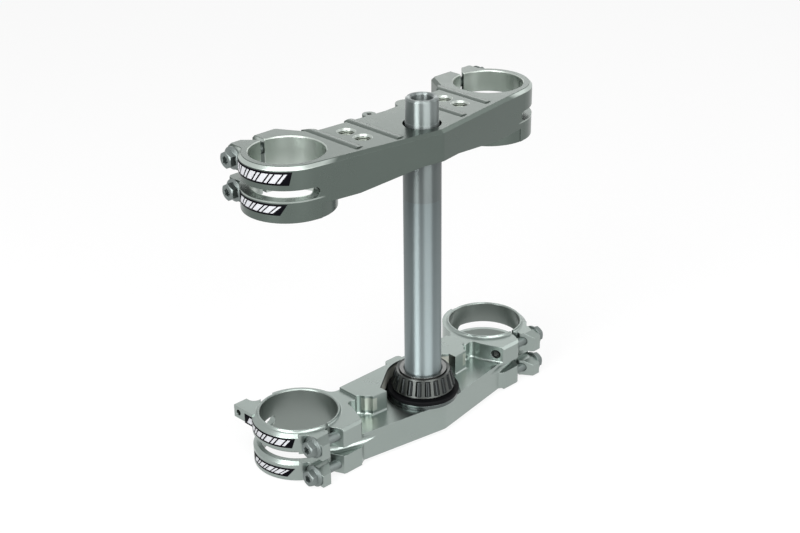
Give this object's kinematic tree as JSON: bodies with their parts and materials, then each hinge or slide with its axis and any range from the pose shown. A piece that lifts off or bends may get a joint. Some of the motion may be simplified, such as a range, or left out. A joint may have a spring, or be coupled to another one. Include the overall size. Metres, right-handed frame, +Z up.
{
  "type": "motorcycle triple clamp",
  "caption": "Upper and lower billet fork clamps joined by a steering stem, with a tapered lower bearing, its rubber dust seal and flanged pinch bolts.",
  "frame": {"origin": "where the steering axis meets the plane that the lower clamp stands on", "axes": "+Z up the steering axis, +X from the left fork leg to the right one, +Y to the front of the motorcycle"},
  "size_m": [0.29, 0.105, 0.2831],
  "materials": {
    "upper_anodised": "satin titanium grey anodising",
    "lower_anodised": "fine milled, light titanium anodising",
    "turned_stem": "turned and polished",
    "seal_rubber": "smooth black rubber",
    "bearing_steel": "ground",
    "pressed_steel": "pressed, dull",
    "roller_steel": "ground and polished",
    "bolt_steel": "dull zinc plated"
  },
  "bodies": {
    "clamp_set": {"bottom_clamp": "lower_anodised", "steering_stem": "turned_stem", "top_clamp": "upper_anodised", "bearing_cone": "bearing_steel", "dust_seal": "seal_rubber", "top_left_upper_bolt": "bolt_steel", "top_left_lower_bolt": "bolt_steel", "top_right_upper_bolt": "bolt_steel", "top_right_lower_bolt": "bolt_steel", "bottom_left_upper_bolt": "bolt_steel", "bottom_left_lower_bolt": "bolt_steel", "bottom_right_upper_bolt": "bolt_steel", "bottom_right_lower_bolt": "bolt_steel"},
    "cage": {"bearing_cage": "pressed_steel"},
    "roller_01_body": {"roller_01": "roller_steel"},
    "roller_02_body": {"roller_02": "roller_steel"},
    "roller_03_body": {"roller_03": "roller_steel"},
    "roller_04_body": {"roller_04": "roller_steel"},
    "roller_05_body": {"roller_05": "roller_steel"},
    "roller_06_body": {"roller_06": "roller_steel"},
    "roller_07_body": {"roller_07": "roller_steel"},
    "roller_08_body": {"roller_08": "roller_steel"},
    "roller_09_body": {"roller_09": "roller_steel"},
    "roller_10_body": {"roller_10": "roller_steel"},
    "roller_11_body": {"roller_11": "roller_steel"},
    "roller_12_body": {"roller_12": "roller_steel"},
    "roller_13_body": {"roller_13": "roller_steel"},
    "roller_14_body": {"roller_14": "roller_steel"},
    "roller_15_body": {"roller_15": "roller_steel"},
    "roller_16_body": {"roller_16": "roller_steel"},
    "roller_17_body": {"roller_17": "roller_steel"},
    "roller_18_body": {"roller_18": "roller_steel"},
    "roller_19_body": {"roller_19": "roller_steel"},
    "roller_20_body": {"roller_20": "roller_steel"}
  },
  "joints": [
    {"name": "cage_spin", "type": "hinge", "parent": "clamp_set", "child": "cage", "pos_m": [0, 0, 0.035], "axis": [0, 0, 1], "continuous": true},
    {"name": "roller_01_spin", "type": "hinge", "parent": "cage", "child": "roller_01_body", "pos_m": [0.0237, 0, 0.035], "axis": [-0.2462, 0, 0.9692], "continuous": true},
    {"name": "roller_02_spin", "type": "hinge", "parent": "cage", "child": "roller_02_body", "pos_m": [0.02254, 0.00732, 0.035], "axis": [-0.2341, -0.0761, 0.9692], "continuous": true},
    {"name": "roller_03_spin", "type": "hinge", "parent": "cage", "child": "roller_03_body", "pos_m": [0.01917, 0.01393, 0.035], "axis": [-0.1991, -0.1447, 0.9692], "continuous": true},
    {"name": "roller_04_spin", "type": "hinge", "parent": "cage", "child": "roller_04_body", "pos_m": [0.01393, 0.01917, 0.035], "axis": [-0.1447, -0.1991, 0.9692], "continuous": true},
    {"name": "roller_05_spin", "type": "hinge", "parent": "cage", "child": "roller_05_body", "pos_m": [0.00732, 0.02254, 0.035], "axis": [-0.0761, -0.2341, 0.9692], "continuous": true},
    {"name": "roller_06_spin", "type": "hinge", "parent": "cage", "child": "roller_06_body", "pos_m": [0, 0.0237, 0.035], "axis": [0, -0.2462, 0.9692], "continuous": true},
    {"name": "roller_07_spin", "type": "hinge", "parent": "cage", "child": "roller_07_body", "pos_m": [-0.00732, 0.02254, 0.035], "axis": [0.0761, -0.2341, 0.9692], "continuous": true},
    {"name": "roller_08_spin", "type": "hinge", "parent": "cage", "child": "roller_08_body", "pos_m": [-0.01393, 0.01917, 0.035], "axis": [0.1447, -0.1991, 0.9692], "continuous": true},
    {"name": "roller_09_spin", "type": "hinge", "parent": "cage", "child": "roller_09_body", "pos_m": [-0.01917, 0.01393, 0.035], "axis": [0.1991, -0.1447, 0.9692], "continuous": true},
    {"name": "roller_10_spin", "type": "hinge", "parent": "cage", "child": "roller_10_body", "pos_m": [-0.02254, 0.00732, 0.035], "axis": [0.2341, -0.0761, 0.9692], "continuous": true},
    {"name": "roller_11_spin", "type": "hinge", "parent": "cage", "child": "roller_11_body", "pos_m": [-0.0237, 0, 0.035], "axis": [0.2462, 0, 0.9692], "continuous": true},
    {"name": "roller_12_spin", "type": "hinge", "parent": "cage", "child": "roller_12_body", "pos_m": [-0.02254, -0.00732, 0.035], "axis": [0.2341, 0.0761, 0.9692], "continuous": true},
    {"name": "roller_13_spin", "type": "hinge", "parent": "cage", "child": "roller_13_body", "pos_m": [-0.01917, -0.01393, 0.035], "axis": [0.1991, 0.1447, 0.9692], "continuous": true},
    {"name": "roller_14_spin", "type": "hinge", "parent": "cage", "child": "roller_14_body", "pos_m": [-0.01393, -0.01917, 0.035], "axis": [0.1447, 0.1991, 0.9692], "continuous": true},
    {"name": "roller_15_spin", "type": "hinge", "parent": "cage", "child": "roller_15_body", "pos_m": [-0.00732, -0.02254, 0.035], "axis": [0.0761, 0.2341, 0.9692], "continuous": true},
    {"name": "roller_16_spin", "type": "hinge", "parent": "cage", "child": "roller_16_body", "pos_m": [0, -0.0237, 0.035], "axis": [0, 0.2462, 0.9692], "continuous": true},
    {"name": "roller_17_spin", "type": "hinge", "parent": "cage", "child": "roller_17_body", "pos_m": [0.00732, -0.02254, 0.035], "axis": [-0.0761, 0.2341, 0.9692], "continuous": true},
    {"name": "roller_18_spin", "type": "hinge", "parent": "cage", "child": "roller_18_body", "pos_m": [0.01393, -0.01917, 0.035], "axis": [-0.1447, 0.1991, 0.9692], "continuous": true},
    {"name": "roller_19_spin", "type": "hinge", "parent": "cage", "child": "roller_19_body", "pos_m": [0.01917, -0.01393, 0.035], "axis": [-0.1991, 0.1447, 0.9692], "continuous": true},
    {"name": "roller_20_spin", "type": "hinge", "parent": "cage", "child": "roller_20_body", "pos_m": [0.02254, -0.00732, 0.035], "axis": [-0.2341, 0.0761, 0.9692], "continuous": true}
  ],
  "couplings": [
    {"joint": "roller_01_spin", "follows": "cage_spin", "ratio": 7.1472},
    {"joint": "roller_02_spin", "follows": "cage_spin", "ratio": 7.1472},
    {"joint": "roller_03_spin", "follows": "cage_spin", "ratio": 7.1472},
    {"joint": "roller_04_spin", "follows": "cage_spin", "ratio": 7.1472},
    {"joint": "roller_05_spin", "follows": "cage_spin", "ratio": 7.1472},
    {"joint": "roller_06_spin", "follows": "cage_spin", "ratio": 7.1472},
    {"joint": "roller_07_spin", "follows": "cage_spin", "ratio": 7.1472},
    {"joint": "roller_08_spin", "follows": "cage_spin", "ratio": 7.1472},
    {"joint": "roller_09_spin", "follows": "cage_spin", "ratio": 7.1472},
    {"joint": "roller_10_spin", "follows": "cage_spin", "ratio": 7.1472},
    {"joint": "roller_11_spin", "follows": "cage_spin", "ratio": 7.1472},
    {"joint": "roller_12_spin", "follows": "cage_spin", "ratio": 7.1472},
    {"joint": "roller_13_spin", "follows": "cage_spin", "ratio": 7.1472},
    {"joint": "roller_14_spin", "follows": "cage_spin", "ratio": 7.1472},
    {"joint": "roller_15_spin", "follows": "cage_spin", "ratio": 7.1472},
    {"joint": "roller_16_spin", "follows": "cage_spin", "ratio": 7.1472},
    {"joint": "roller_17_spin", "follows": "cage_spin", "ratio": 7.1472},
    {"joint": "roller_18_spin", "follows": "cage_spin", "ratio": 7.1472},
    {"joint": "roller_19_spin", "follows": "cage_spin", "ratio": 7.1472},
    {"joint": "roller_20_spin", "follows": "cage_spin", "ratio": 7.1472}
  ]
}
